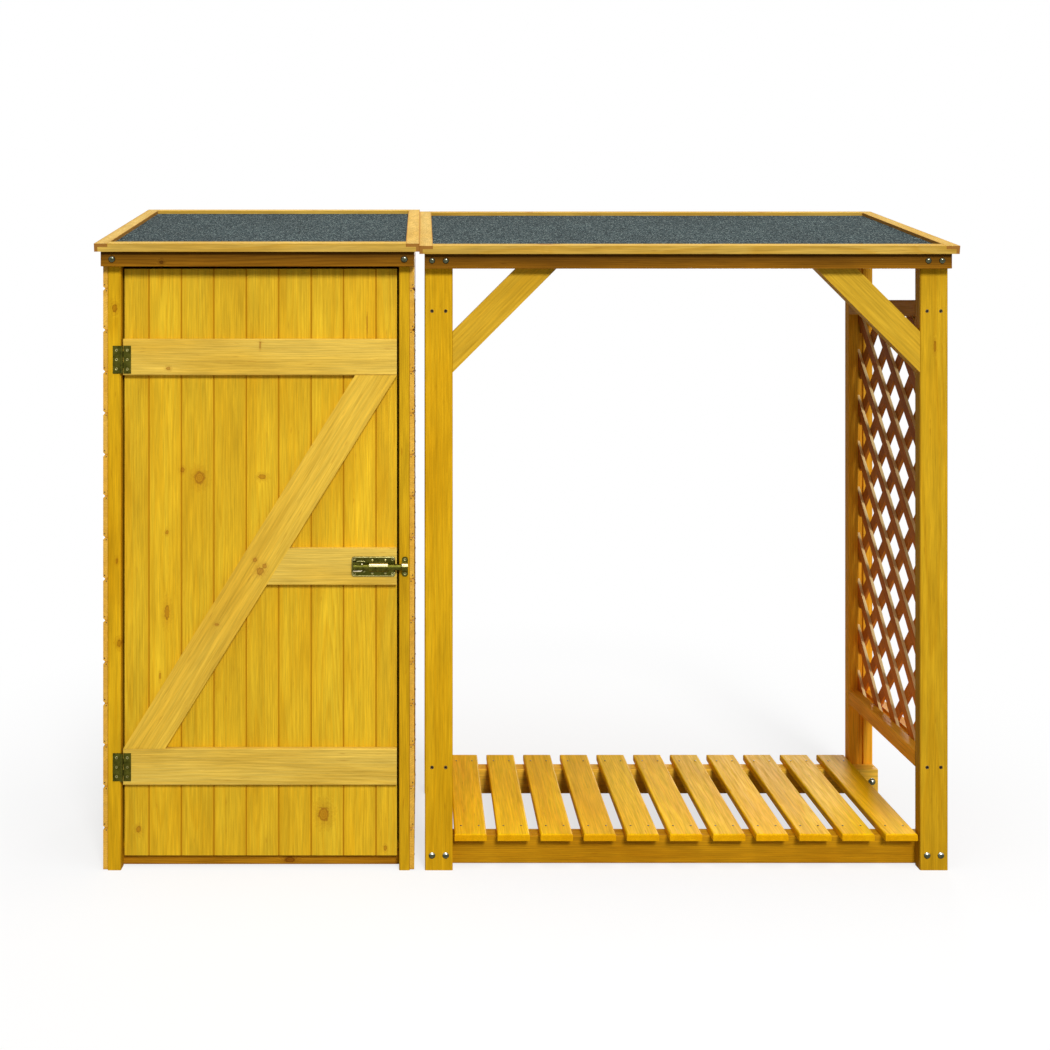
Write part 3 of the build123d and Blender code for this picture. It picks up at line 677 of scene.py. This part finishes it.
for wall, out in (("shed_left_wall", LEFT), ("shed_right_wall", RIGHT)):
    low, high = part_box(wall)
    outer = low.x if out == LEFT else high.x
    for z in board_nail_heights(low, high):
        if z < low.z + WALL_NAIL_REACH:
            for y in (low.y + WALL_NAIL_INSET, high.y - WALL_NAIL_INSET):
                lathe(nails, NAIL, WALL_NAIL, (outer, y, z), out, NAIL_SIDES)
    for joint in range(1, int((END_NAIL_TOP - low.z) / CLADDING_BOARD) + 1):
        for inward, rise in END_NAILS:
            end_nail = (outer - out[X] * inward, low.y, low.z + joint * CLADDING_BOARD + rise)
            lathe(nails, NAIL, END_NAIL, end_nail, FRONT, NAIL_SIDES)
low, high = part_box("shed_back_wall")
for z in board_nail_heights(low, high):
    for x in (low.x + BACK_NAIL_INSET, high.x - BACK_NAIL_INSET):
        lathe(nails, NAIL, WALL_NAIL, (x, high.y, z), BACK, NAIL_SIDES)
for rail_low, rail_high in (front_rail, rear_rail):
    for slat in range(SLAT_COUNT):
        for share in SLAT_NAIL_SHARES:
            x = slat_low.x + slat * SLAT_PITCH + share * SLAT_WIDTH
            lathe(nails, NAIL, SLAT_NAIL, (x, (rail_low.y + rail_high.y) / 2, slat_high.z), UP, NAIL_SIDES)
piece("cladding_nails", nails, "frame", BLACKENED)

# Screws of the hinges, the latch plate and its keeper
HINGE_SCREW, LATCH_SCREW = 0.0075, 0.0078
HINGE_SCREW_INSET, PLATE_SCREW_INSET, KEEPER_SCREW_INSET = 0.010, 0.0075, 0.007
HINGE_SCREW_SHARES = (0.16, 0.5, 0.84)
plate_face = front_face - PLATE_THICKNESS
fixed, moving = bmesh.new(), bmesh.new()
for leaves, target in (("hinge_frame_leaves", fixed), ("hinge_door_leaves", moving)):
    low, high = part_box(leaves)
    leaf_x = low.x + HINGE_SCREW_INSET if target is fixed else high.x - HINGE_SCREW_INSET
    for foot in (low.z, high.z - HINGE_HEIGHT):
        for share in HINGE_SCREW_SHARES:
            hinge_screw = (leaf_x, plate_face, foot + share * HINGE_HEIGHT)
            lathe(target, COUNTERSUNK, HINGE_SCREW, hinge_screw, FRONT, SCREW_SIDES)
plate_low, plate_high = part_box("latch_plate")
for x in (plate_low.x + PLATE_SCREW_INSET, plate_high.x - PLATE_SCREW_INSET):
    for z in (plate_low.z + PLATE_SCREW_INSET, plate_high.z - PLATE_SCREW_INSET):
        lathe(moving, COUNTERSUNK, LATCH_SCREW, (x, plate_face, z), FRONT, SCREW_SIDES)
low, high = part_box("latch_keeper")
for z in (low.z + KEEPER_SCREW_INSET, high.z - KEEPER_SCREW_INSET):
    lathe(fixed, COUNTERSUNK, LATCH_SCREW, ((low.x + high.x) / 2, plate_face, z), FRONT, SCREW_SIDES)
piece("post_hinge_screws", fixed, "frame", PALE_ZINC)
piece("door_hinge_screws", moving, "door", PALE_ZINC)


def bead(bm, points, radius, face, steps=5):
    """Adds a half-round bead along an open path of X and Z on the face at depth face."""
    rings = []
    for number, (x, z) in enumerate(points):
        before, after = points[max(number - 1, 0)], points[min(number + 1, len(points) - 1)]
        run = Vector((after[0] - before[0], 0, after[1] - before[1])).normalized()
        side = Vector((run.z, 0, -run.x))
        ring = []
        for step in range(steps + 1):
            angle = math.pi * step / steps
            offset = side * radius * math.cos(angle) + Vector((0, -radius * math.sin(angle), 0))
            ring.append(bm.verts.new(Vector((x, face, z)) + offset))
        rings.append(ring)
    for first, second in zip(rings, rings[1:]):
        for step in range(steps):
            bm.faces.new((first[step], first[step + 1], second[step + 1], second[step]))
    bm.faces.new(rings[0])
    bm.faces.new(list(reversed(rings[-1])))


def rounded(low_x, high_x, low_z, high_z, corner, steps=6):
    """Points of a rectangle with rounded corners, anticlockwise from the top of its right side."""
    points = []
    for x, z, start in ((high_x - corner, high_z - corner, 0), (low_x + corner, high_z - corner, 90),
                        (low_x + corner, low_z + corner, 180), (high_x - corner, low_z + corner, 270)):
        for step in range(steps + 1):
            angle = math.radians(start + 90 * step / steps)
            points.append((x + corner * math.cos(angle), z + corner * math.sin(angle)))
    return points


# Beads pressed into the latch plate, open where the bolt passes, and the rivets of its guide
BOLT_CLEARANCE = 0.0105
RIM_BEAD, RIM_INSET, RIM_CORNER = 0.0016, 0.002, 0.005
SEAT_BEAD, SEAT_INSET, SEAT_LENGTH, SEAT_CORNER = 0.0014, 0.013, 0.023, 0.003
GUIDE_RIVET, RIVET_INSET = 0.008, 0.0095
GUIDE_RIVET_DISTANCES = (0.062, 0.027)
trimming = bmesh.new()
bolt_z = (plate_low.z + plate_high.z) / 2
bolt_low, bolt_high = bolt_z - BOLT_CLEARANCE, bolt_z + BOLT_CLEARANCE
rim_right = plate_high.x - RIM_INSET
rim = rounded(plate_low.x + RIM_INSET, rim_right, plate_low.z + RIM_INSET, plate_high.z - RIM_INSET,
              RIM_CORNER)
bead(trimming, [(rim_right, bolt_high)] + rim + [(rim_right, bolt_low)], RIM_BEAD, plate_face)
seat_left = plate_low.x + SEAT_INSET
seat_right = seat_left + SEAT_LENGTH
seat = rounded(seat_left, seat_right, plate_low.z + SEAT_INSET, plate_high.z - SEAT_INSET, SEAT_CORNER)
half = len(seat) // 2
bead(trimming, [(seat_right, bolt_high)] + seat[:half] + [(seat_left, bolt_high)], SEAT_BEAD, plate_face)
bead(trimming, [(seat_left, bolt_low)] + seat[half:] + [(seat_right, bolt_low)], SEAT_BEAD, plate_face)
for x in (plate_high.x - distance for distance in GUIDE_RIVET_DISTANCES):
    for z in (plate_low.z + RIVET_INSET, plate_high.z - RIVET_INSET):
        lathe(trimming, RIVET, GUIDE_RIVET, (x, plate_face, z), FRONT, SCREW_SIDES)
piece("latch_beads", trimming, "door", PALE_ZINC)

# Bead along the foot and the right edge of the bolt's handle, a real bead in near-white zinc that serves as a
# painted highlight
GRIP_BEAD, HANDLE_HALF_THICKNESS = 0.002, 0.0025
GRIP_PATH = ((0.003, 0.004), (0.018, 0.004), (0.023, 0.004), (0.0255, 0.0055), (0.0265, 0.008),
             (0.0265, 0.016))
GRIP_TOP_DROP = 0.003
low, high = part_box("latch_bolt")
grip = bmesh.new()
grip_points = [(low.x + across, low.z + rise) for across, rise in GRIP_PATH]
grip_points.append((grip_points[-1][0], high.z - GRIP_TOP_DROP))
bead(grip, grip_points, GRIP_BEAD, (low.y + high.y) / 2 - HANDLE_HALF_THICKNESS)
piece("bolt_grip", grip, "latch_bolt", PAINTED_HIGHLIGHT_ZINC)

# Camera: a level view with its horizon and vanishing point placed by lens shift
FRAME_PX, FOCAL_PX = 1050, 1333.3
VANISH_X, VANISH_Y = 422, 300
EYE_X, EYE_DISTANCE, EYE_HEIGHT = -0.280, 3.600, 1.540
SENSOR_WIDTH = 36
camera_data = bpy.data.cameras.new("camera")
camera_data.sensor_width = SENSOR_WIDTH
camera_data.lens = SENSOR_WIDTH * FOCAL_PX / FRAME_PX
camera_data.shift_x = (FRAME_PX / 2 - VANISH_X) / FRAME_PX
camera_data.shift_y = (VANISH_Y - FRAME_PX / 2) / FRAME_PX
camera = bpy.data.objects.new("camera", camera_data)
camera.location = (EYE_X, front_face - EYE_DISTANCE, EYE_HEIGHT)
camera.rotation_euler = (math.pi / 2, 0, 0)
scene.collection.objects.link(camera)
scene.camera = camera


def area_light(name, place, target, size, power):
    """A soft round lamp at a place, turned to a target."""
    data = bpy.data.lights.new(name, "AREA")
    data.shape = "DISK"
    data.size = size
    data.energy = power
    lamp = bpy.data.objects.new(name, data)
    lamp.location = place
    lamp.rotation_euler = (Vector(target) - Vector(place)).to_track_quat("-Z", "Y").to_euler()
    scene.collection.objects.link(lamp)


area_light("key", place=(2.4, -12.0, 8.6), target=(0, 0, 0.8), size=3.8, power=1740)
area_light("top", place=(0.2, -0.8, 6.0), target=(0, 0, 1.0), size=3.0, power=160)
area_light("back", place=(3.4, 9.0, 1.4), target=(0, 0, 0.9), size=2.4, power=330)


def studio_world():
    """A white surround that is seen and reflected at full strength and lights surfaces softly."""
    world = bpy.data.worlds.new("world")
    scene.world = world
    world.use_nodes = True
    tree = world.node_tree
    background = tree.nodes["Background"]
    background.inputs["Color"].default_value = (1, 1, 1, 1)
    path = tree.nodes.new("ShaderNodeLightPath")
    seen = path.outputs["Is Camera Ray"]
    for kind in ("Is Glossy Ray", "Is Transmission Ray"):
        either = tree.nodes.new("ShaderNodeMath")
        either.operation = "MAXIMUM"
        tree.links.new(seen, either.inputs[0])
        tree.links.new(path.outputs[kind], either.inputs[1])
        seen = either.outputs[0]
    strength = tree.nodes.new("ShaderNodeMapRange")
    strength.inputs["To Min"].default_value = 0.18
    strength.inputs["To Max"].default_value = 1.0
    tree.links.new(seen, strength.inputs["Value"])
    tree.links.new(strength.outputs[0], background.inputs["Strength"])


def floor_white():
    """A white floor that keeps the shadow near the object and sends little light back up."""
    s = Shader("floor_white")
    s.surface.inputs["Base Color"].default_value = (0.9, 0.9, 0.9, 1)
    s.surface.inputs["Roughness"].default_value = 0.9
    glow = s.tree.nodes.new("ShaderNodeEmission")
    glow.inputs["Strength"].default_value = 1.0
    dim = s.tree.nodes.new("ShaderNodeBsdfDiffuse")
    dim.inputs["Color"].default_value = (0.42, 0.42, 0.42, 1)
    reach = s.tree.nodes.new("ShaderNodeVectorMath")
    reach.operation = "LENGTH"
    s.put(reach.inputs[0], s.coordinates.outputs["Object"])
    light_path = s.tree.nodes.new("ShaderNodeLightPath")

    def blend(share, first, second):
        node = s.tree.nodes.new("ShaderNodeMixShader")
        for socket, value in zip(node.inputs, (share, first, second)):
            s.put(socket, value)
        return node.outputs[0]

    far = s.remap(reach.outputs["Value"], 0.8, 2.6, 0.72, 1.0, True)
    shown = blend(far, s.surface.outputs[0], glow.outputs[0])
    direct = s.math("MAXIMUM", light_path.outputs["Is Camera Ray"], light_path.outputs["Is Glossy Ray"])
    s.put(s.output.inputs["Surface"], blend(direct, dim.outputs[0], shown))
    return s.material


studio_world()
FLOOR_REACH = 30.0
floor_mesh = bpy.data.meshes.new("floor")
corners = [(x * FLOOR_REACH, y * FLOOR_REACH, 0) for x, y in ((-1, -1), (1, -1), (1, 1), (-1, 1))]
floor_mesh.from_pydata(corners, [], [(0, 1, 2, 3)])
floor_mesh.materials.append(floor_white())
floor = bpy.data.objects.new("floor", floor_mesh)
scene.collection.objects.link(floor)
